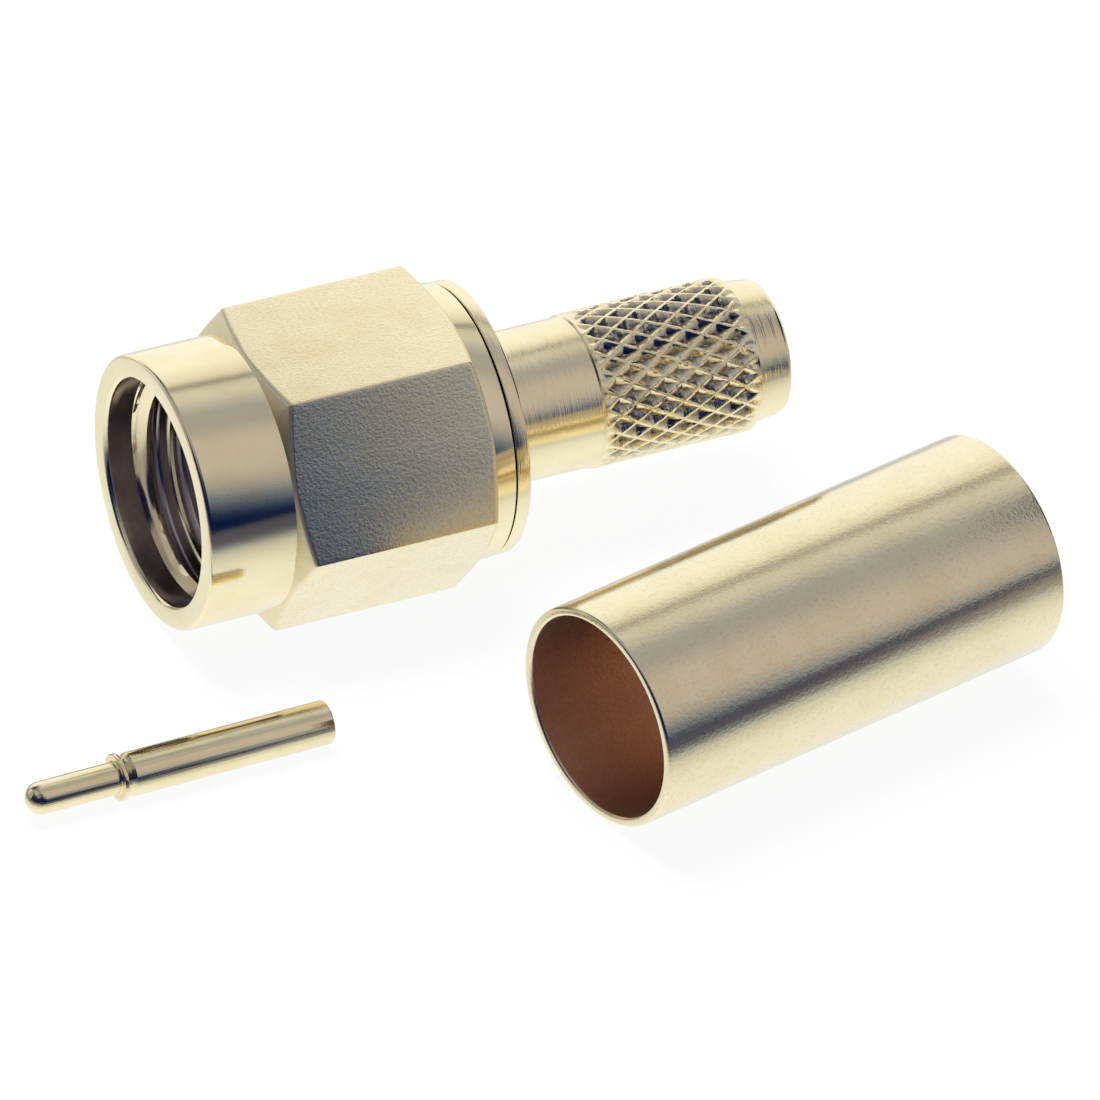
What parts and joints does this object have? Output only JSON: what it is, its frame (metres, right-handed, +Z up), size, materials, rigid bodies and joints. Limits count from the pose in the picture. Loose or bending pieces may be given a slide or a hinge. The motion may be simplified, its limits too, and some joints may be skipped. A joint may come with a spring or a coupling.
{
  "type": "sma connector",
  "caption": "Straight crimp coaxial plug in pale gold plating: hexagonal coupling nut that spins on a turned body with a diamond-knurled crimp stem, with its loose contact and ferrule.",
  "frame": {"origin": "on the plug's axis, where the coupling nut's thread starts behind its lead-in", "axes": "+X along the plug from its mating end to its cable end, +Z up from the surface that the nut's flat lies on"},
  "size_m": [0.029, 0.0201, 0.008],
  "materials": {
    "plated_nut": "thin gold plating, turned and satin",
    "plated_body": "thin gold plating, fine lathe marks",
    "plated_contact": "polished gold plating",
    "plated_ferrule": "satin gold plating, drawn tube",
    "insulator": "turned fluoroplastic, waxy white",
    "spring_ring": "spring bronze, bright",
    "silicone": "moulded silicone, matt"
  },
  "bodies": {
    "plug": {"connector_body": "plated_body", "front_insulator": "insulator", "retaining_ring": "spring_ring", "gasket": "silicone", "centre_contact": "plated_contact", "crimp_ferrule": "plated_ferrule"},
    "nut": {"coupling_nut": "plated_nut"}
  },
  "joints": [
    {"name": "nut_spin", "type": "hinge", "parent": "plug", "child": "nut", "pos_m": [0, 0, 0], "axis": [1, 0, 0], "continuous": true}
  ]
}
